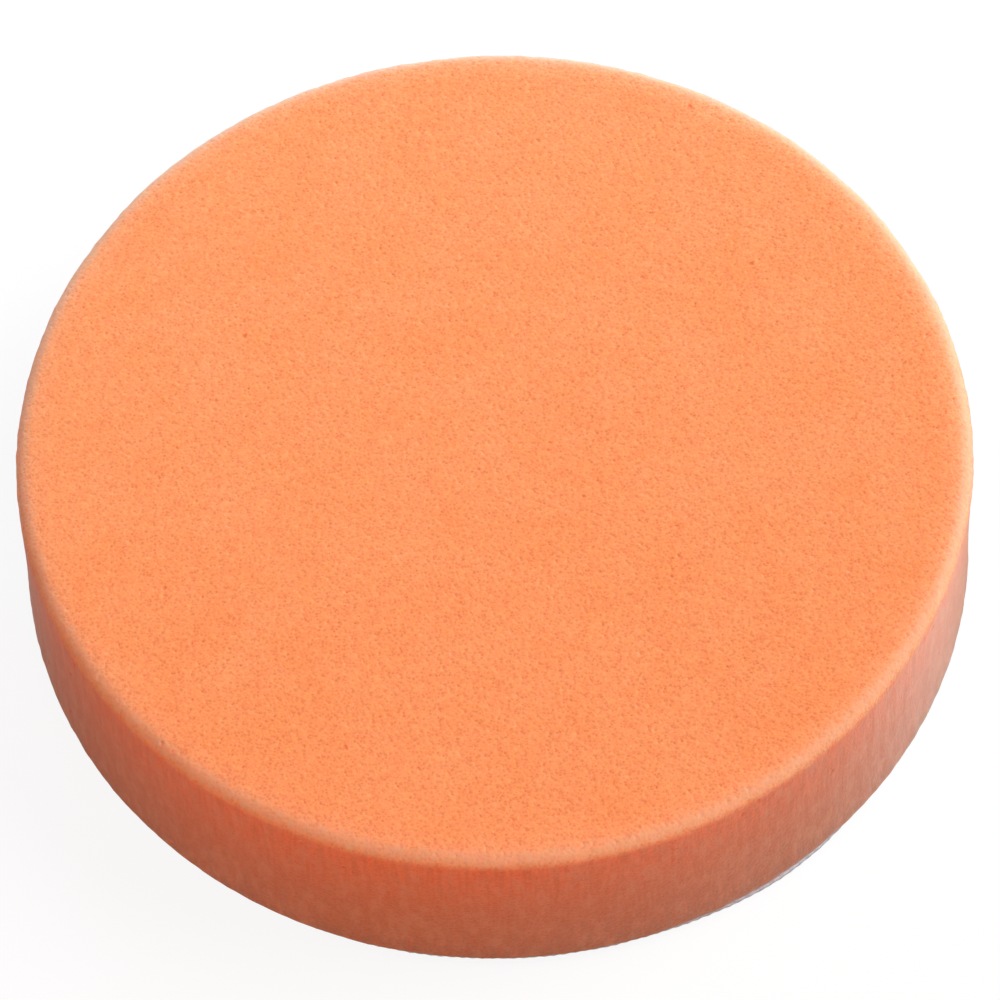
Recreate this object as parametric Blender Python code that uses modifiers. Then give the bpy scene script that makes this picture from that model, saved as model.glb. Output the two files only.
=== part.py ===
"""A flat round foam polishing pad with a hook-and-loop backing.

The pad lies on its backing: +Z points out of the polishing face, and the origin is the centre of the
backing's underside. From the floor up it is four bonded layers: the loop pile that the polisher's hook
plate grips, the knitted ground cloth that carries those loops, a laminating film, and the foam disc.
Metres throughout.
"""

import math

import bmesh
import bpy

# Driving dimensions
PAD_DIAMETER = 0.150
FOAM_THICKNESS = 0.030
FILM_THICKNESS = 0.0002
CLOTH_THICKNESS = 0.0004
PILE_HEIGHT = 0.0008
LAYER_GAP = 0.0002

BACKING_INSET = 0.0010
FILM_INSET = 0.0015

FOAM_TOP_RADIUS = 0.0020
FOAM_BOTTOM_RADIUS = 0.0007
PILE_EDGE_RADIUS = 0.0004

TURN_STEPS = 96
ROUNDING_POINTS = 6
MERGE_DISTANCE = 0.00001

# Worked out from them
FOAM_RADIUS = PAD_DIAMETER / 2
BACKING_RADIUS = FOAM_RADIUS - BACKING_INSET
FILM_RADIUS = FOAM_RADIUS - FILM_INSET

PILE_Z = 0.0
CLOTH_Z = PILE_Z + PILE_HEIGHT + LAYER_GAP
FILM_Z = CLOTH_Z + CLOTH_THICKNESS + LAYER_GAP
FOAM_Z = FILM_Z + FILM_THICKNESS + LAYER_GAP


def clear_scene():
    for item in list(bpy.data.objects):
        bpy.data.objects.remove(item)


def make_material(name, colour, roughness, sheen=0.0):
    material = bpy.data.materials.new(name)
    material.use_nodes = True
    shader = material.node_tree.nodes["Principled BSDF"]
    shader.inputs["Base Color"].default_value = (*colour, 1.0)
    shader.inputs["Roughness"].default_value = roughness
    shader.inputs["Metallic"].default_value = 0.0
    shader.inputs["Sheen Weight"].default_value = sheen
    material.diffuse_color = (*colour, 1.0)
    return material


def quarter_arc(centre_x, centre_z, radius, start_angle):
    """Points of a quarter circle that turns from start_angle towards the underside."""
    points = []
    for step in range(ROUNDING_POINTS):
        angle = start_angle - math.pi / 2 * step / (ROUNDING_POINTS - 1)
        points.append((centre_x + radius * math.cos(angle), centre_z + radius * math.sin(angle)))
    return points


def disc_profile(radius, thickness, top_rounding=0.0, bottom_rounding=0.0):
    """Half of a disc's section, from the middle of its top, down its outer side, to the middle of its
    underside. An edge with no rounding is a single point."""
    top = [(radius, thickness)]
    if top_rounding:
        top = quarter_arc(radius - top_rounding, thickness - top_rounding, top_rounding, math.pi / 2)
    bottom = [(radius, 0.0)]
    if bottom_rounding:
        bottom = quarter_arc(radius - bottom_rounding, bottom_rounding, bottom_rounding, 0.0)
    return [(0.0, thickness), *top, *bottom, (0.0, 0.0)]


def turned_object(name, profile, material, collection):
    """A profile in the XZ plane, turned about Z by a Screw modifier."""
    mesh = bpy.data.meshes.new(name)
    shape = bmesh.new()
    corners = [shape.verts.new((x, 0.0, z)) for x, z in profile]
    for upper, lower in zip(corners, corners[1:]):
        shape.edges.new((upper, lower))
    shape.to_mesh(mesh)
    shape.free()

    item = bpy.data.objects.new(name, mesh)
    collection.objects.link(item)
    item.data.materials.append(material)

    screw = item.modifiers.new("turn", "SCREW")
    screw.axis = "Z"
    screw.angle = 2 * math.pi
    screw.steps = TURN_STEPS
    screw.render_steps = TURN_STEPS
    screw.use_merge_vertices = True
    screw.merge_threshold = MERGE_DISTANCE
    screw.use_smooth_shade = True
    return item


def place(item, parent, height):
    item.parent = parent
    item.location = (0.0, 0.0, height)


def add_loop_pile(collection):
    """The brushed loops under the ground cloth, as the closed layer that they fill."""
    profile = disc_profile(BACKING_RADIUS, PILE_HEIGHT, bottom_rounding=PILE_EDGE_RADIUS)
    white = make_material("white_loop_pile", (0.80, 0.79, 0.81), 0.95, sheen=0.4)
    return turned_object("loop_pile", profile, white, collection)


def add_backing_cloth(collection):
    """The warp-knitted ground of the loop fabric."""
    profile = disc_profile(BACKING_RADIUS, CLOTH_THICKNESS)
    white = make_material("white_knitted_cloth", (0.74, 0.72, 0.75), 0.85, sheen=0.2)
    return turned_object("backing_cloth", profile, white, collection)


def add_adhesive_film(collection):
    """The hot-melt film that bonds the cloth to the foam."""
    profile = disc_profile(FILM_RADIUS, FILM_THICKNESS)
    clear = make_material("laminating_film", (0.78, 0.66, 0.55), 0.45)
    return turned_object("adhesive_film", profile, clear, collection)


def add_foam_disc(collection):
    """The open-cell foam, cut square, with a slightly softened edge round the polishing face."""
    profile = disc_profile(FOAM_RADIUS, FOAM_THICKNESS, FOAM_TOP_RADIUS, FOAM_BOTTOM_RADIUS)
    orange = make_material("orange_foam", (0.95, 0.29, 0.09), 0.95, sheen=0.3)
    return turned_object("foam_disc", profile, orange, collection)


def build_pad():
    clear_scene()
    collection = bpy.data.collections.new("polishing_pad")
    bpy.context.scene.collection.children.link(collection)
    origin = bpy.data.objects.new("pad_origin", None)
    collection.objects.link(origin)

    place(add_loop_pile(collection), origin, PILE_Z)
    place(add_backing_cloth(collection), origin, CLOTH_Z)
    place(add_adhesive_film(collection), origin, FILM_Z)
    place(add_foam_disc(collection), origin, FOAM_Z)


build_pad()
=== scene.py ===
"""Looks of the foam polishing pad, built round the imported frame.

Each CAD layer is replaced by a detailed piece in the same place: the open-cell foam disc with real
pits and a soft cut edge, the laminating film, the knitted ground cloth and its field of loops.
Metres, +Z up, with the pad lying on its loops at Z = 0.
"""

import math
import random

import bmesh
import bpy
import numpy as np
from mathutils import Matrix, Vector, noise


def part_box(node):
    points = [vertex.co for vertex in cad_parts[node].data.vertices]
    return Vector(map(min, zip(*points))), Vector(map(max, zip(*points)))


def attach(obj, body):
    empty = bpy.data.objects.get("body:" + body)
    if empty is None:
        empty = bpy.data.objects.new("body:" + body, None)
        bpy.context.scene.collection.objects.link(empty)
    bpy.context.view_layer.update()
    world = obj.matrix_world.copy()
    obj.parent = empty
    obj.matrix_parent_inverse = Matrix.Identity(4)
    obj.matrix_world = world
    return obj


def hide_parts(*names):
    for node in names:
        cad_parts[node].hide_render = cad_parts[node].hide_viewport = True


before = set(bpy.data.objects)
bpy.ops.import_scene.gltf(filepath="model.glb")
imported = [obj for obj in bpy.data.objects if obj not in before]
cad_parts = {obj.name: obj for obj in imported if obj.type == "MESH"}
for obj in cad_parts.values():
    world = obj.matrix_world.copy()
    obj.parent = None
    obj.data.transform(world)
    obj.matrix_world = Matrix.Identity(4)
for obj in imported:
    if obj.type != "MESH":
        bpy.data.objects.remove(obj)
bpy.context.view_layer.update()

MM = 0.001

# Places and sizes, read from the frame
foam_low, foam_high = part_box("foam_disc")
film_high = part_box("adhesive_film")[1]
cloth_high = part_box("backing_cloth")[1]
pile_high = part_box("loop_pile")[1]

FOAM_RADIUS = foam_high.x
FOAM_TOP = foam_high.z
FILM_RADIUS = film_high.x
CLOTH_RADIUS = cloth_high.x
CLOTH_UNDERSIDE = pile_high.z
CLOTH_TOP = cloth_high.z
FOAM_UNDERSIDE = foam_low.z
FOAM_MIDDLE = (foam_low + foam_high) / 2

# Foam: the mesh
TOP_RINGS = 100
SIDE_ROWS = 32
EDGE_STEPS = 5
LOWER_EDGE_STEPS = 2
EDGE_RADIUS = 2.0 * MM
LOWER_EDGE_RADIUS = 0.7 * MM
UNDERSIDE_SHARES = (0.96, 0.86, 0.68, 0.44, 0.2)

# Foam: how far its surface strays from a plain disc
SHOULDER_WIDTH = 5.0 * MM
SHOULDER_DROP = 0.65 * MM
FACE_SWELL = 0.10 * MM
RIM_REACH = 5 * MM
RIM_WANDER = 0.22 * MM
RIM_TUFTS = 0.16 * MM
RIM_RISE = 0.12 * MM
SIDE_HOLLOW = 0.25 * MM
SIDE_RIDGES = 0.09 * MM
SIDE_GRAIN = 0.03 * MM
FRONT_LEAN = 0.75 * MM
FRONT_GAIN = 1.2
LOWER_EDGE_RAGS = 0.10 * MM
LOWER_EDGE_LIFT = 0.30 * MM

# Foam: its cells, and the pits cut as real shapes: count, width, depth, tone of painted shade,
# seed, lowest height
CELL_PITCH = 0.60 * MM
FACE_ONLY = FOAM_TOP - 0.5 * MM
FACE_AND_SIDE = FOAM_UNDERSIDE + 1.5 * MM
PITS = (
    (2600, 0.32 * MM, 0.035 * MM, 0.08, 11, FACE_ONLY),
    (900, 0.36 * MM, 0.05 * MM, 0.18, 12, FACE_ONLY),
    (26, 0.90 * MM, 0.12 * MM, 0.8, 13, FACE_AND_SIDE),
)

# Backing: the loop fabric was laid on slightly off centre, towards the front right
BACKING_SHIFT = Vector((0.05, -0.06, 0.0)) * MM
FILM_UNDERSIDE = CLOTH_TOP + 0.15 * MM
FILM_TOP = FOAM_UNDERSIDE - 0.05 * MM
CLOTH_COLUMNS = 371
CLOTH_UNDER_ROWS = 61
CLOTH_UPPER_ROWS = 7
WALE_PITCH = 1.6 * MM
COURSE_PITCH = 2.15 * MM
WALE_RELIEF = 0.10 * MM
CLOTH_WANDER = 0.12 * MM
CLOTH_FRAY = 0.06 * MM
EDGE_CURL = 1.5 * MM
EDGE_DROP = 0.25 * MM
OVERHANG = 0.70 * MM
OVERHANG_FROM = math.radians(-56)
OVERHANG_SPREAD = math.radians(10)

# Loops of the pile
LOOP_SIDES = 3
LOOP_STEPS = 6
YARN_RADIUS = 0.11 * MM
EDGE_LOOP_PITCH = 1.25 * MM
EDGE_LOOP_LEAN = 0.2 * MM
LOOP_ROOT_DEPTH = 0.15 * MM
INNER_LOOPS_INSET = 1.9 * MM

# Camera: a long lens, looking down at the face from in front
VIEW_ELEVATION = math.radians(58.84)
VIEW_ROLL = math.radians(-2.12)
VIEW_DISTANCE = 1.2
VIEW_LENS = 273.5
AIM_RIGHT = 0.64 * MM
AIM_UP = -0.82 * MM


# ---------------------------------------------------------------- ring meshes


def ring(count, radius, height, turn=0.0):
    """(angles, points) of a level circle of count points, or of the single point on the axis."""
    if count == 1:
        return np.zeros(1), np.array([[0.0, 0.0, height]])
    angles = (np.arange(count) + turn) * 2 * math.pi / count
    heights = np.full(count, height)
    return angles, np.stack([radius * np.cos(angles), radius * np.sin(angles), heights], axis=1)


def zip_rings(first_angles, first_start, second_angles, second_start):
    """Triangles between two rings, facing out where the profile runs outwards over the top or
    down the side. The rings may hold different numbers of points."""
    first_count = len(first_angles)
    second_count = len(second_angles)
    triangles = []
    i = 0
    j = 0
    while i < first_count or j < second_count:
        next_first = 2 * math.pi
        next_second = 2 * math.pi
        if i + 1 < first_count:
            next_first = first_angles[i + 1]
        if j + 1 < second_count:
            next_second = second_angles[j + 1]
        here = first_start + i % first_count
        there = second_start + j % second_count
        second_is_next = j < second_count and next_second <= next_first
        move_second = i >= first_count or first_count == 1 or second_is_next
        if second_count == 1:
            move_second = False
        if move_second:
            triangles.append((here, there, second_start + (j + 1) % second_count))
            j += 1
            if first_count == 1 and j == second_count:
                break
        else:
            triangles.append((here, there, first_start + (i + 1) % first_count))
            i += 1
            if second_count == 1 and i == first_count:
                break
    return triangles


def mesh_of_rings(name, rings):
    """One closed mesh from rings listed from the middle of the top, round the edge, to the middle
    of the underside."""
    points = np.concatenate([ring_points for _, ring_points in rings])
    triangles = []
    start = 0
    for (angles, _), (next_angles, _) in zip(rings, rings[1:]):
        next_start = start + len(angles)
        triangles += zip_rings(angles, start, next_angles, next_start)
        start = next_start
    mesh = bpy.data.meshes.new(name)
    mesh.from_pydata(points.tolist(), [], triangles)
    mesh.update()
    return mesh


def link(name, mesh):
    item = bpy.data.objects.new(name, mesh)
    bpy.context.scene.collection.objects.link(item)
    return item


# ---------------------------------------------------------------- foam disc


def foam_rings():
    """Rings over the face, round its soft edge, down the side and back under the foam."""
    rim = 6 * TOP_RINGS
    flat_radius = FOAM_RADIUS - EDGE_RADIUS
    rings = [ring(1, 0.0, FOAM_TOP)]
    for step in range(1, TOP_RINGS + 1):
        rings.append(ring(6 * step, flat_radius * step / TOP_RINGS, FOAM_TOP))
    for step in range(1, EDGE_STEPS + 1):
        angle = math.pi / 2 * step / EDGE_STEPS
        radius = flat_radius + EDGE_RADIUS * math.sin(angle)
        height = FOAM_TOP - EDGE_RADIUS * (1 - math.cos(angle))
        rings.append(ring(rim, radius, height, 0.5 * (step % 2)))
    side_top = FOAM_TOP - EDGE_RADIUS
    side_bottom = FOAM_UNDERSIDE + LOWER_EDGE_RADIUS
    for row in range(1, SIDE_ROWS + 1):
        height = side_top + (side_bottom - side_top) * (row / SIDE_ROWS)
        rings.append(ring(rim, FOAM_RADIUS, height, 0.5 * (row % 2)))
    for step in range(1, LOWER_EDGE_STEPS + 1):
        angle = math.pi / 2 * step / LOWER_EDGE_STEPS
        radius = FOAM_RADIUS - LOWER_EDGE_RADIUS * (1 - math.cos(angle))
        height = side_bottom - LOWER_EDGE_RADIUS * math.sin(angle)
        rings.append(ring(rim, radius, height))
    for share in UNDERSIDE_SHARES:
        count = 6 * round(TOP_RINGS * share * share)
        rings.append(ring(count, FOAM_RADIUS * share, FOAM_UNDERSIDE))
    rings.append(ring(1, 0.0, FOAM_UNDERSIDE))
    return rings


def shape_foam(mesh):
    """Small moves of the surface: a face that isn't quite flat and falls away at its shoulder, a
    rim that wanders and is tufted, a side that the cutter left slightly hollow, ridged from top to
    bottom and leaning in at the front, and a ragged lower edge."""
    side_height = FOAM_TOP - FOAM_UNDERSIDE
    for vertex in mesh.vertices:
        x, y, z = vertex.co
        radius = math.hypot(x, y)
        if z < FOAM_UNDERSIDE + 0.01 * MM:
            continue
        place = Vector((x, y, z))
        share = (z - FOAM_UNDERSIDE) / side_height
        rim = max(0.0, 1 - math.hypot(radius - FOAM_RADIUS, z - FOAM_TOP) / RIM_REACH)
        on_side = max(0.0, min(1.0, (radius - FOAM_RADIUS + 0.8 * MM) / (0.8 * MM)))
        low_edge = max(0.0, 1 - share * 12) * on_side
        front = max(0.0, min(1.0, -FRONT_GAIN * y / FOAM_RADIUS))
        near_edge = max(0.0, (radius - 0.7 * FOAM_RADIUS) / (0.3 * FOAM_RADIUS))
        outward = -FRONT_LEAN * front * share * near_edge**2
        outward -= SIDE_HOLLOW * on_side * 4 * share * (1 - share)
        outward += SIDE_RIDGES * on_side * noise.noise(Vector((x, y, z * 0.12)) / (1.9 * MM))
        outward += SIDE_GRAIN * on_side * noise.noise(place / (0.9 * MM))
        outward += RIM_WANDER * rim * noise.noise(place / (11 * MM))
        outward += RIM_TUFTS * rim * noise.noise(place / (1.7 * MM))
        outward += LOWER_EDGE_RAGS * low_edge * noise.noise(place / (2.6 * MM))
        upward = FACE_SWELL * (1 - on_side) * noise.noise(place / (17 * MM))
        upward += SIDE_GRAIN * (1 - on_side) * noise.noise(place / (2.1 * MM))
        upward += RIM_RISE * rim * noise.noise((place + Vector((0.5, 0.2, 0.1))) / (9 * MM))
        upward += LOWER_EDGE_LIFT * low_edge * max(0.0, noise.noise(place / (13 * MM)))
        shoulder = max(0.0, (radius - FOAM_RADIUS) / SHOULDER_WIDTH + 1)
        fading = max(0.0, 1 - (FOAM_TOP - z) / (12 * MM))
        upward -= SHOULDER_DROP * shoulder**2 * fading
        scale = 1 + outward / radius if radius > 1 * MM else 1.0
        vertex.co = (x * scale, y * scale, z + upward)


def open_pores(mesh, count, width, depth, tone, seed, low_z):
    """Cuts small real pits at vertices picked at random from low_z up, never at two that share an
    edge. The tone is how strongly the material paints shade into a pit."""
    picker = random.Random(seed)
    shape = bmesh.new()
    shape.from_mesh(mesh)
    shape.verts.ensure_lookup_table()
    layer = shape.verts.layers.float.get("pore") or shape.verts.layers.float.new("pore")
    taken = set()
    chosen = []
    while len(chosen) < count:
        vertex = shape.verts[picker.randrange(len(shape.verts))]
        if vertex.index in taken or vertex.co.z < low_z:
            continue
        if len(vertex.link_edges) != 6 or any(len(face.verts) != 3 for face in vertex.link_faces):
            continue
        neighbours = {edge.other_vert(vertex).index for edge in vertex.link_edges}
        if neighbours & taken:
            continue
        taken.add(vertex.index)
        taken |= neighbours
        chosen.append(vertex)
    made = bmesh.ops.bevel(shape, geom=chosen, offset=width / 2, affect="VERTICES", segments=1)
    mouths = [face for face in made["faces"] if len(face.verts) == 6]
    bmesh.ops.inset_individual(shape, faces=mouths, thickness=width * 0.12, depth=-depth)
    for face in mouths:
        for vertex in face.verts:
            vertex[layer] = tone
    shape.to_mesh(mesh)
    shape.free()


def make_foam():
    mesh = mesh_of_rings("foam_open_cell_disc", foam_rings())
    shape_foam(mesh)
    for pits in PITS:
        open_pores(mesh, *pits)
    mesh.shade_smooth()
    foam = link("foam_open_cell_disc", mesh)
    mesh.materials.append(foam_material())
    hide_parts("foam_disc")
    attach(foam, "root")


# ---------------------------------------------------------------- backing


def make_film():
    """The thin laminating film, with an uneven edge between the foam and the cloth."""
    rim = 360
    levels = [(1, 0.0), (36, 0.3), (120, 0.65), (rim, 0.93), (rim, 1.0)]
    rings = [ring(count, FILM_RADIUS * share, FILM_TOP) for count, share in levels]
    rings += [ring(count, FILM_RADIUS * share, FILM_UNDERSIDE) for count, share in reversed(levels)]
    mesh = mesh_of_rings("laminating_film_layer", rings)
    for vertex in mesh.vertices:
        x, y, z = vertex.co
        edge = max(0.0, math.hypot(x, y) / FILM_RADIUS - 0.9) * 10
        spread = 1 + edge * noise.noise(Vector((x, y, 0.0)) / (4 * MM)) * 0.35 * MM / FILM_RADIUS
        vertex.co = Vector((x * spread, y * spread, z)) + BACKING_SHIFT
    mesh.materials.append(film_material())
    film = link("laminating_film_layer", mesh)
    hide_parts("adhesive_film")
    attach(film, "root")
    return film


def overhang(x, y):
    """How far the cloth was cut past its circle: only on a short stretch at the front right."""
    away = (math.atan2(y, x) - OVERHANG_FROM) / OVERHANG_SPREAD
    return OVERHANG * math.exp(-(away**2))


def make_ground_cloth():
    """The knitted ground: a thin disc with its wales standing out as ridges underneath. It is
    built as a tube of sections across the wales, capped at both ends."""
    mesh = bpy.data.meshes.new("knitted_ground_cloth")
    widest = CLOTH_RADIUS * 0.9995
    points = []
    for column in range(CLOTH_COLUMNS):
        x = -widest + 2 * widest * column / (CLOTH_COLUMNS - 1)
        reach = math.sqrt(CLOTH_RADIUS**2 - x * x)
        for row in range(CLOTH_UNDER_ROWS):
            y = reach * (2 * row / (CLOTH_UNDER_ROWS - 1) - 1)
            ridge = WALE_RELIEF * math.cos(2 * math.pi * x / WALE_PITCH)
            ridge += 0.03 * MM * noise.noise(Vector((x, y, 0.0)) / (3 * MM))
            points.append((x, y, CLOTH_UNDERSIDE + WALE_RELIEF + 0.05 * MM - ridge))
        for row in range(CLOTH_UPPER_ROWS):
            y = reach * (1 - 2 * row / (CLOTH_UPPER_ROWS - 1))
            points.append((x, y, CLOTH_TOP + 0.10 * MM))
    frayed = []
    for x, y, z in points:
        edge = max(0.0, math.hypot(x, y) / CLOTH_RADIUS - 0.95) * 20
        curl = max(0.0, math.hypot(x, y) - CLOTH_RADIUS + EDGE_CURL) / EDGE_CURL
        z -= EDGE_DROP * curl**2 * (1.0 if z < CLOTH_TOP else 0.2)
        fray = overhang(x, y) + CLOTH_WANDER * noise.noise(Vector((x, y, 0.0)) / (5 * MM))
        fray += CLOTH_FRAY * noise.noise(Vector((x, y, 0.1)) / (0.8 * MM))
        spread = 1 + edge * fray / CLOTH_RADIUS
        frayed.append(Vector((x * spread, y * spread, z)) + BACKING_SHIFT)
    per_section = CLOTH_UNDER_ROWS + CLOTH_UPPER_ROWS
    faces = []
    for column in range(CLOTH_COLUMNS - 1):
        here = column * per_section
        for row in range(per_section):
            after = (row + 1) % per_section
            there = here + per_section
            faces.append((here + row, here + after, there + after, there + row))
    faces.append(tuple(reversed(range(per_section))))
    faces.append(tuple(range(len(points) - per_section, len(points))))
    mesh.from_pydata(frayed, [], faces)
    mesh.update()
    mesh.shade_smooth()
    mesh.materials.append(cloth_material())
    cloth = link("knitted_ground_cloth", mesh)
    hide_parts("backing_cloth")
    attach(cloth, "root")


def loop_roots(picker):
    """(x, y, heading, lean) of each loop: rows along the wales, and one ring close to the edge,
    where the loops lean inwards."""
    roots = []
    edge_loops = round(2 * math.pi * CLOTH_RADIUS / EDGE_LOOP_PITCH)
    for step in range(edge_loops):
        angle = 2 * math.pi * step / edge_loops
        radius = CLOTH_RADIUS - picker.uniform(0.7, 1.0) * MM
        heading = angle + math.pi / 2 + picker.gauss(0, 0.12)
        x = radius * math.cos(angle)
        y = radius * math.sin(angle)
        roots.append((x, y, heading, EDGE_LOOP_LEAN))
    inner = CLOTH_RADIUS - INNER_LOOPS_INSET
    across = math.ceil(inner / WALE_PITCH)
    along = math.ceil(inner / COURSE_PITCH)
    for column in range(-across, across + 1):
        for row in range(-along, along + 1):
            x = column * WALE_PITCH + picker.gauss(0, 0.10) * MM
            y = (row + 0.5 * (column % 2)) * COURSE_PITCH + picker.gauss(0, 0.20) * MM
            if math.hypot(x, y) < inner:
                heading = math.pi / 2 + picker.gauss(0, 0.55)
                roots.append((x, y, heading, picker.gauss(0, 0.30) * MM))
    return roots


def make_loops():
    """The loop pile: thousands of small arches of yarn, hanging from the ground cloth to the
    surface that the pad lies on."""
    picker = random.Random(21)
    roots = loop_roots(picker)
    path = np.linspace(0.0, 1.0, LOOP_STEPS + 1)
    points = []
    faces = []
    for x, y, heading, lean in roots:
        width = picker.uniform(1.5, 2.3) * MM
        drop = picker.uniform(0.62, 0.78) * MM
        along = np.array([math.cos(heading), math.sin(heading), 0.0])
        aside = np.array([-math.sin(heading), math.cos(heading), 0.0])
        arch = np.sin(math.pi * path) ** 0.65
        sway = np.sin(2 * math.pi * path) * 0.12 * width
        centre = np.outer((path - 0.5) * width * 0.8 - sway, along) + np.outer(lean * arch, aside)
        centre[:, 2] = -drop * arch
        centre += np.array([x, y, CLOTH_UNDERSIDE + LOOP_ROOT_DEPTH]) + np.array(BACKING_SHIFT)
        forward = np.gradient(centre, axis=0)
        forward /= np.linalg.norm(forward, axis=1)[:, None]
        across = np.cross(forward, aside)
        across /= np.linalg.norm(across, axis=1)[:, None]
        sidewards = np.cross(across, forward)
        start = len(points)
        thickness = YARN_RADIUS * picker.uniform(0.85, 1.15)
        for step in range(LOOP_STEPS + 1):
            for side in range(LOOP_SIDES):
                turn = 2 * math.pi * side / LOOP_SIDES
                offset = across[step] * math.cos(turn) + sidewards[step] * math.sin(turn)
                points.append(tuple(centre[step] + offset * thickness))
        for step in range(LOOP_STEPS):
            for side in range(LOOP_SIDES):
                after = (side + 1) % LOOP_SIDES
                here = start + step * LOOP_SIDES
                there = here + LOOP_SIDES
                faces.append((here + side, there + side, there + after, here + after))
        faces.append(tuple(range(start, start + LOOP_SIDES)))
        faces.append(tuple(reversed(range(len(points) - LOOP_SIDES, len(points)))))
    mesh = bpy.data.meshes.new("loop_pile_field")
    mesh.from_pydata(points, [], faces)
    mesh.update()
    mesh.shade_smooth()
    mesh.materials.append(yarn_material())
    loops = link("loop_pile_field", mesh)
    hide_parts("loop_pile")
    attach(loops, "root")
    return loops


# ---------------------------------------------------------------- materials


class Nodes:
    """A material's node tree, with short calls that add a node and join its inputs."""

    def __init__(self, name):
        self.material = bpy.data.materials.new(name)
        self.material.use_nodes = True
        self.tree = self.material.node_tree
        self.tree.nodes.clear()

    def add(self, kind, settings=None, **inputs):
        node = self.tree.nodes.new(kind)
        for key, value in (settings or {}).items():
            setattr(node, key, value)
        for key, value in inputs.items():
            self.join(node, key.replace("_", " "), value)
        return node

    def join(self, node, socket, value):
        target = node.inputs[int(socket)] if socket.isdigit() else node.inputs[socket]
        if isinstance(value, bpy.types.NodeSocket):
            self.tree.links.new(value, target)
        else:
            target.default_value = value

    def math(self, operation, first, second=0.0):
        node = self.add("ShaderNodeMath", {"operation": operation})
        self.join(node, "0", first)
        self.join(node, "1", second)
        return node.outputs[0]

    def ramp(self, value, low, high, to_low=0.0, to_high=1.0):
        node = self.add("ShaderNodeMapRange", {"interpolation_type": "SMOOTHSTEP"}, Value=value)
        self.join(node, "From Min", low)
        self.join(node, "From Max", high)
        self.join(node, "To Min", to_low)
        self.join(node, "To Max", to_high)
        return node.outputs["Result"]

    def blend(self, factor, first, second):
        node = self.add("ShaderNodeMix", {"data_type": "RGBA"})
        self.join(node, "0", factor)
        self.join(node, "6", first)
        self.join(node, "7", second)
        return node.outputs[2]

    def noise(self, vector, size, detail=2.0):
        node = self.add("ShaderNodeTexNoise", Vector=vector, Scale=1 / size, Detail=detail)
        return node.outputs["Fac"]

    def cells(self, vector, size):
        node = self.add("ShaderNodeTexVoronoi", Vector=vector, Scale=1 / size)
        return node.outputs["Distance"]

    def stretched_noise(self, vector, scale_z, size, detail):
        node = self.add("ShaderNodeMapping", Vector=vector)
        node.inputs["Scale"].default_value = (1.0, 1.0, scale_z)
        return self.noise(node.outputs[0], size, detail)

    def length(self, first, second):
        squares = self.math(
            "ADD", self.math("MULTIPLY", first, first), self.math("MULTIPLY", second, second)
        )
        return self.math("SQRT", squares)


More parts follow.
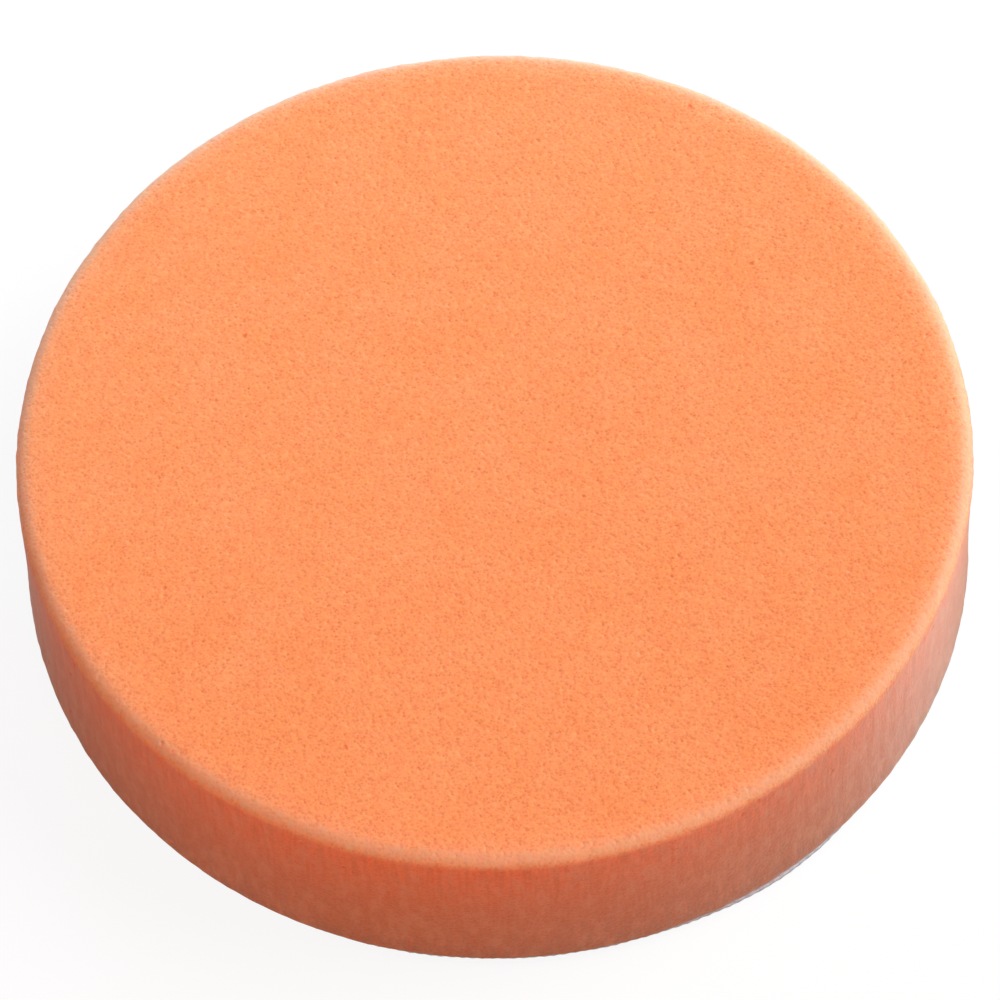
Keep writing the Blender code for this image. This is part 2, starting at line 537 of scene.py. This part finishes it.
def foam_material():
    """Orange open-cell polyurethane: fine cell mouths darkened by painted shade between paler
    struts, a pale tufted rim toned down by painted shade where its rounding catches the most light,
    and a cut side painted in shade, a deeper orange that darkens towards the bottom, with faint
    streaks from top to bottom."""
    n = Nodes("orange_open_cell_foam")
    place = n.add("ShaderNodeTexCoord").outputs["Object"]
    x, y, z = n.add("ShaderNodeSeparateXYZ", Vector=place).outputs

    wander = n.add("ShaderNodeTexNoise", Vector=place, Scale=1 / (1.3 * MM), Detail=1.0)
    warp = n.add("ShaderNodeVectorMath", {"operation": "SCALE"})
    n.join(warp, "0", wander.outputs["Color"])
    n.join(warp, "Scale", 0.35 * MM)
    warped = n.add("ShaderNodeVectorMath", {"operation": "ADD"})
    n.join(warped, "0", place)
    n.join(warped, "1", warp.outputs[0])
    warped = warped.outputs[0]

    mouth = n.cells(warped, CELL_PITCH)
    fine = n.cells(warped, CELL_PITCH * 0.62)
    # Painted shade in the cell mouths, coarse and fine: darker where shade falls inside the holes.
    cell_mask = n.ramp(mouth, 0.10, 0.66, 1.0, 0.0)
    fine_mask = n.ramp(fine, 0.15, 0.60, 1.0, 0.0)
    some_cells = n.ramp(n.noise(place, 1.1 * MM, 1.0), 0.34, 0.62, 0.35, 1.0)
    cell_mouth_shade = n.math("MULTIPLY", cell_mask, some_cells)
    flecks = n.ramp(n.noise(place, 0.6 * MM, 2.0), 0.50, 0.70)

    front = n.math("MAXIMUM", n.math("MULTIPLY", y, -FRONT_GAIN / FOAM_RADIUS), 0.0)
    front = n.math("MINIMUM", front, 1.0)
    from_side = n.math("SUBTRACT", n.length(x, y), FOAM_RADIUS)
    from_side = n.math("ADD", from_side, n.math("MULTIPLY", front, FRONT_LEAN))
    from_top = n.math("SUBTRACT", z, FOAM_TOP)
    on_side = n.math(
        "MULTIPLY",
        n.ramp(from_side, -2.2 * MM, -1.6 * MM),
        n.ramp(from_top, -3.2 * MM, -0.9 * MM, 1.0, 0.0),
    )

    orange = (0.965, 0.330, 0.114, 1)
    pale = (0.985, 0.388, 0.170, 1)
    # The side's colours are painted shade: a deeper, redder orange than the face, darker towards
    # the bottom.
    side_shade_upper = (0.98, 0.196, 0.066, 1)
    side_shade_lower = (0.56, 0.174, 0.084, 1)
    bloom_tone = (0.82, 0.330, 0.190, 1)
    # Painted shade at the lower edge of the side.
    low_edge = (0.40, 0.150, 0.085, 1)
    streak_tone = (0.66, 0.140, 0.048, 1)
    # Pale fuzz of the rim, darkened with painted shade.
    rim_fuzz_and_shade_tone = (0.78, 0.395, 0.235, 1)
    pale_edge_tone = (0.93, 0.420, 0.215, 1)
    pit_shade_tone = (0.84, 0.155, 0.040, 1)

    blotches = n.ramp(n.noise(place, 9 * MM, 3.0), 0.3, 0.7)
    colour = n.blend(n.math("MULTIPLY", blotches, 0.30), orange, pale)
    # Paler over the outer 6 mm of the face, most at its edge.
    colour = n.blend(n.ramp(from_side, -6 * MM, -1 * MM, 0.0, 0.5), colour, pale_edge_tone)
    streaks = n.ramp(n.stretched_noise(place, 0.10, 0.65 * MM, 3.0), 0.38, 0.66)
    # Painted shade down the side: deep orange under the rim, darker towards the bottom.
    side = n.blend(n.ramp(from_top, -29 * MM, 3 * MM, 1.0, 0.0), side_shade_upper, side_shade_lower)
    # Painted shade: darker in the lowest 6 mm of the side.
    side = n.blend(n.ramp(from_top, -30 * MM, -24 * MM, 0.6, 0.0), side, low_edge)
    side = n.blend(n.math("MULTIPLY", streaks, 0.38), side, streak_tone)
    bloom = n.ramp(n.stretched_noise(place, 0.45, 1.9 * MM, 4.0), 0.42, 0.68)
    side = n.blend(n.math("MULTIPLY", bloom, 0.26), side, bloom_tone)
    colour = n.blend(on_side, colour, side)
    strength = n.ramp(on_side, 0.0, 1.0, 1.0, 0.6)
    mottle = n.ramp(n.noise(place, 1.7 * MM, 2.0), 0.35, 0.65)
    # The tint darkens the cell mouths as painted shade and adds random mottle and paler flecks; the
    # powers below make the painted shade redder.
    tint = n.math("MULTIPLY", cell_mouth_shade, 0.20)
    tint = n.math("ADD", tint, n.math("MULTIPLY", mottle, 0.05))
    tint = n.math("ADD", tint, n.math("MULTIPLY", fine_mask, 0.10))
    tint = n.math("SUBTRACT", tint, n.math("MULTIPLY", flecks, 0.05))
    tint = n.math("SUBTRACT", 1.0, n.math("MULTIPLY", tint, strength))
    speckle = n.add("ShaderNodeCombineColor", Red=n.math("POWER", tint, 0.6))
    n.join(speckle, "Green", n.math("POWER", tint, 1.35))
    n.join(speckle, "Blue", n.math("POWER", tint, 1.9))
    shaded = n.add("ShaderNodeMix", {"data_type": "RGBA", "blend_type": "MULTIPLY"})
    n.join(shaded, "0", 1.0)
    n.join(shaded, "6", colour)
    n.join(shaded, "7", speckle.outputs[0])
    colour = shaded.outputs[2]
    # Painted shade in the pits: darker and redder, weaker on the side.
    pore = n.add("ShaderNodeAttribute", {"attribute_name": "pore"}).outputs["Fac"]
    pore = n.math("MULTIPLY", pore, n.ramp(on_side, 0.0, 1.0, 0.75, 0.15))
    colour = n.blend(pore, colour, pit_shade_tone)

    # The rim's tone is partly pale fuzz and partly painted shade, darkened so the rounded edge,
    # which catches more light, is no brighter than the face.
    from_rim = n.length(n.math("ADD", from_side, 0.5 * MM), from_top)
    ragged = n.math("ADD", from_rim, n.math("MULTIPLY", n.noise(place, 0.8 * MM, 4.0), 2.4 * MM))
    rim_fuzz_and_shade_mask = n.ramp(ragged, 1.7 * MM, 3.5 * MM, 1.0, 0.0)
    colour = n.blend(n.math("MULTIPLY", rim_fuzz_and_shade_mask, 0.75), colour, rim_fuzz_and_shade_tone)

    height = n.math("ADD", n.math("MULTIPLY", mouth, 0.7), n.math("MULTIPLY", fine, 0.3))
    height = n.math("MULTIPLY", height, n.ramp(on_side, 0.0, 1.0, 1.0, 0.50))
    height = n.math("ADD", height, n.math("MULTIPLY", n.math("MULTIPLY", streaks, on_side), -0.14))
    bump = n.add("ShaderNodeBump", Height=height, Strength=0.45, Distance=0.22 * MM)

    shader = n.add("ShaderNodeBsdfPrincipled", Normal=bump.outputs[0])
    n.join(shader, "Base Color", colour)
    n.join(shader, "Roughness", n.ramp(mouth, 0.1, 0.6, 0.98, 0.86))
    n.join(shader, "Specular IOR Level", 0.25)
    n.join(shader, "Subsurface Weight", 0.6)
    n.join(shader, "Subsurface Radius", (1.0, 0.28, 0.11))
    n.join(shader, "Subsurface Scale", 5 * MM)
    n.join(shader, "Sheen Weight", 0.44)
    n.join(shader, "Sheen Roughness", 0.45)
    n.join(shader, "Sheen Tint", (1.0, 0.88, 0.82, 1))
    n.add("ShaderNodeOutputMaterial", Surface=shader.outputs[0])
    return n.material


def film_material():
    """Milky hot-melt film with a crinkled surface, tinted by the foam behind it."""
    n = Nodes("milky_laminating_film")
    place = n.add("ShaderNodeTexCoord").outputs["Object"]
    crinkle = n.noise(place, 1.2 * MM, 4.0)
    soaked = n.ramp(n.noise(place, 5 * MM, 2.0), 0.4, 0.65)
    milky = (0.78, 0.66, 0.58, 1)
    foam_tinted = (0.82, 0.52, 0.34, 1)
    colour = n.blend(soaked, milky, foam_tinted)
    bump = n.add("ShaderNodeBump", Height=crinkle, Strength=0.5, Distance=0.08 * MM)
    shader = n.add("ShaderNodeBsdfPrincipled", Normal=bump.outputs[0])
    n.join(shader, "Base Color", colour)
    n.join(shader, "Roughness", n.ramp(crinkle, 0.3, 0.7, 0.36, 0.58))
    n.join(shader, "Specular IOR Level", 0.4)
    n.add("ShaderNodeOutputMaterial", Surface=shader.outputs[0])
    return n.material


def cloth_material():
    """White warp knit: each wale is a chain of stitches that slant to left and right in turn."""
    n = Nodes("white_warp_knit")
    place = n.add("ShaderNodeTexCoord").outputs["Object"]
    x, y = n.add("ShaderNodeSeparateXYZ", Vector=place).outputs[:2]
    chain = n.math("SINE", n.math("MULTIPLY", x, 2 * math.pi / WALE_PITCH))
    slant = n.math("MULTIPLY", n.math("ABSOLUTE", chain), 1.4)
    stitch = n.math("SINE", n.math("ADD", n.math("MULTIPLY", y, 4 * math.pi / COURSE_PITCH), slant))
    relief = n.math("ADD", n.math("MULTIPLY", stitch, 0.5), n.math("MULTIPLY", chain, 0.3))
    fibres = n.noise(place, 0.12 * MM, 3.0)
    relief = n.math("ADD", relief, n.math("MULTIPLY", fibres, 0.5))
    # Painted shade in the gaps between the stitches.
    stitch_gap_shade_mask = n.ramp(stitch, -0.9, 0.1, 1.0, 0.0)
    # The white knit's colours are made a darker grey: painted shade over the whole cloth.
    white = (0.66, 0.62, 0.67, 1)
    stitch_gap_shade_tone = (0.46, 0.40, 0.42, 1)
    fibre_tone = (0.80, 0.77, 0.82, 1)
    colour = n.blend(n.math("MULTIPLY", stitch_gap_shade_mask, 0.5), white, stitch_gap_shade_tone)
    colour = n.blend(n.ramp(fibres, 0.5, 0.75, 0.0, 0.3), colour, fibre_tone)
    bump = n.add("ShaderNodeBump", Height=relief, Strength=0.8, Distance=0.12 * MM)
    shader = n.add("ShaderNodeBsdfPrincipled", Normal=bump.outputs[0])
    n.join(shader, "Base Color", colour)
    n.join(shader, "Roughness", n.ramp(fibres, 0.3, 0.7, 0.72, 0.92))
    n.join(shader, "Specular IOR Level", 0.3)
    n.join(shader, "Sheen Weight", 0.25)
    n.join(shader, "Sheen Roughness", 0.4)
    n.add("ShaderNodeOutputMaterial", Surface=shader.outputs[0])
    return n.material


def yarn_material():
    """Brushed white nylon yarn, with fibres of slightly different whites and painted shade where
    the fibres lie low.
    """
    n = Nodes("white_nylon_loops")
    place = n.add("ShaderNodeTexCoord").outputs["Object"]
    fibres = n.noise(place, 0.09 * MM, 3.0)
    patches = n.ramp(n.noise(place, 7 * MM, 2.0), 0.35, 0.65)
    white = (0.84, 0.83, 0.86, 1)
    dull_white = (0.76, 0.74, 0.79, 1)
    shaded = (0.58, 0.55, 0.61, 1)
    colour = n.blend(n.math("MULTIPLY", patches, 0.5), white, dull_white)
    colour = n.blend(n.ramp(fibres, 0.35, 0.6, 0.45, 0.0), colour, shaded)
    bump = n.add("ShaderNodeBump", Height=fibres, Strength=0.6, Distance=0.03 * MM)
    shader = n.add("ShaderNodeBsdfPrincipled", Normal=bump.outputs[0])
    n.join(shader, "Base Color", colour)
    n.join(shader, "Roughness", n.ramp(fibres, 0.3, 0.7, 0.45, 0.65))
    n.join(shader, "Specular IOR Level", 0.45)
    n.join(shader, "Sheen Weight", 0.4)
    n.join(shader, "Sheen Roughness", 0.35)
    n.add("ShaderNodeOutputMaterial", Surface=shader.outputs[0])
    return n.material


# ---------------------------------------------------------------- stage


def add_camera():
    data = bpy.data.cameras.new("view")
    data.lens = VIEW_LENS
    data.sensor_width = 36.0
    data.clip_start = 0.05
    data.clip_end = 50.0
    camera = bpy.data.objects.new("view", data)
    bpy.context.scene.collection.objects.link(camera)
    back = Vector((0.0, -math.cos(VIEW_ELEVATION), math.sin(VIEW_ELEVATION)))
    level = (-back).to_track_quat("-Z", "Y").to_matrix()
    turned = level @ Matrix.Rotation(VIEW_ROLL, 3, "Z")
    right = turned @ Vector((1, 0, 0))
    up = turned @ Vector((0, 1, 0))
    camera.location = FOAM_MIDDLE + back * VIEW_DISTANCE + right * AIM_RIGHT + up * AIM_UP
    camera.rotation_euler = turned.to_euler()
    bpy.context.scene.camera = camera


def add_sun(name, azimuth, elevation, strength, spread, colour=(1, 1, 1)):
    """A soft light from far off. Azimuth is where it stands, in degrees from +X towards +Y."""
    data = bpy.data.lights.new(name, "SUN")
    data.energy = strength
    data.angle = math.radians(spread)
    data.color = colour
    lamp = bpy.data.objects.new(name, data)
    bpy.context.scene.collection.objects.link(lamp)
    a, e = math.radians(azimuth), math.radians(elevation)
    towards = Vector((math.cos(a) * math.cos(e), math.sin(a) * math.cos(e), math.sin(e)))
    lamp.rotation_euler = towards.to_track_quat("Z", "Y").to_euler()


def add_panel(name, place, size, power, aim, colour):
    """A soft square light close by."""
    data = bpy.data.lights.new(name, "AREA")
    data.size = size
    data.energy = power
    data.color = colour
    lamp = bpy.data.objects.new(name, data)
    bpy.context.scene.collection.objects.link(lamp)
    lamp.location = place
    lamp.rotation_euler = (Vector(place) - aim).to_track_quat("Z", "Y").to_euler()


def add_floor():
    """A plain pale floor. It doesn't light the pad from below, and its shadows are kept light."""
    bpy.ops.mesh.primitive_plane_add(size=8.0, location=(0, 0, 0))
    floor = bpy.context.object
    floor.name = "floor"
    n = Nodes("pale_floor")
    paint = n.add("ShaderNodeBsdfDiffuse", Color=(0.11, 0.11, 0.11, 1))
    glow = n.add("ShaderNodeEmission", Color=(1, 1, 1, 1), Strength=0.89)
    both = n.add("ShaderNodeAddShader")
    n.join(both, "0", paint.outputs[0])
    n.join(both, "1", glow.outputs[0])
    n.add("ShaderNodeOutputMaterial", Surface=both.outputs[0])
    floor.data.materials.append(n.material)
    floor.visible_diffuse = False
    floor.visible_glossy = False


def add_backdrop():
    """A white dome behind everything, seen by the camera only."""
    bpy.ops.mesh.primitive_uv_sphere_add(segments=64, ring_count=32, radius=7.0)
    dome = bpy.context.object
    dome.name = "backdrop"
    n = Nodes("white_backdrop")
    glow = n.add("ShaderNodeEmission", Color=(1, 1, 1, 1), Strength=0.98)
    n.add("ShaderNodeOutputMaterial", Surface=glow.outputs[0])
    dome.data.materials.append(n.material)
    dome.visible_diffuse = False
    dome.visible_glossy = False
    dome.visible_shadow = False
    dome.visible_transmission = False


def add_lights():
    world = bpy.data.worlds.new("room")
    bpy.context.scene.world = world
    world.use_nodes = True
    background = world.node_tree.nodes["Background"]
    background.inputs["Color"].default_value = (1.0, 0.88, 0.78, 1)
    background.inputs["Strength"].default_value = 0.13
    add_sun("key", 15, 42, 3.02, 50)
    add_sun("front_left", 235, 14, 1.25, 60, (1.30, 0.75, 0.50))
    add_sun("front_right", 290, 14, 0.65, 60, (0.92, 1.17, 1.35))
    near_face = Vector((0.0, -0.07, FOAM_TOP))
    add_panel("right_rear", (0.235, 0.135, 0.038), 0.12, 0.45, FOAM_MIDDLE, (0.60, 1.0, 1.20))
    add_panel("over_front", (0.0, -0.07, 0.22), 0.15, 0.025, near_face, (1.3, 0.05, 0.02))
    add_panel("far_side", (-0.04, 0.30, 0.12), 0.22, 0.40, FOAM_MIDDLE, (0.55, 1.00, 1.40))
    add_panel("far_left", (-0.17, 0.28, 0.08), 0.20, 0.31, FOAM_MIDDLE, (0.90, 1.00, 1.10))


def set_colours():
    scene = bpy.context.scene
    scene.view_settings.view_transform = "Standard"
    scene.view_settings.look = "None"
    scene.view_settings.exposure = 0.0
    scene.view_settings.gamma = 1.0


# ---------------------------------------------------------------- the scene

set_colours()
add_camera()
add_lights()
add_floor()
add_backdrop()
make_foam()
film = make_film()
loops = make_loops()
make_ground_cloth()
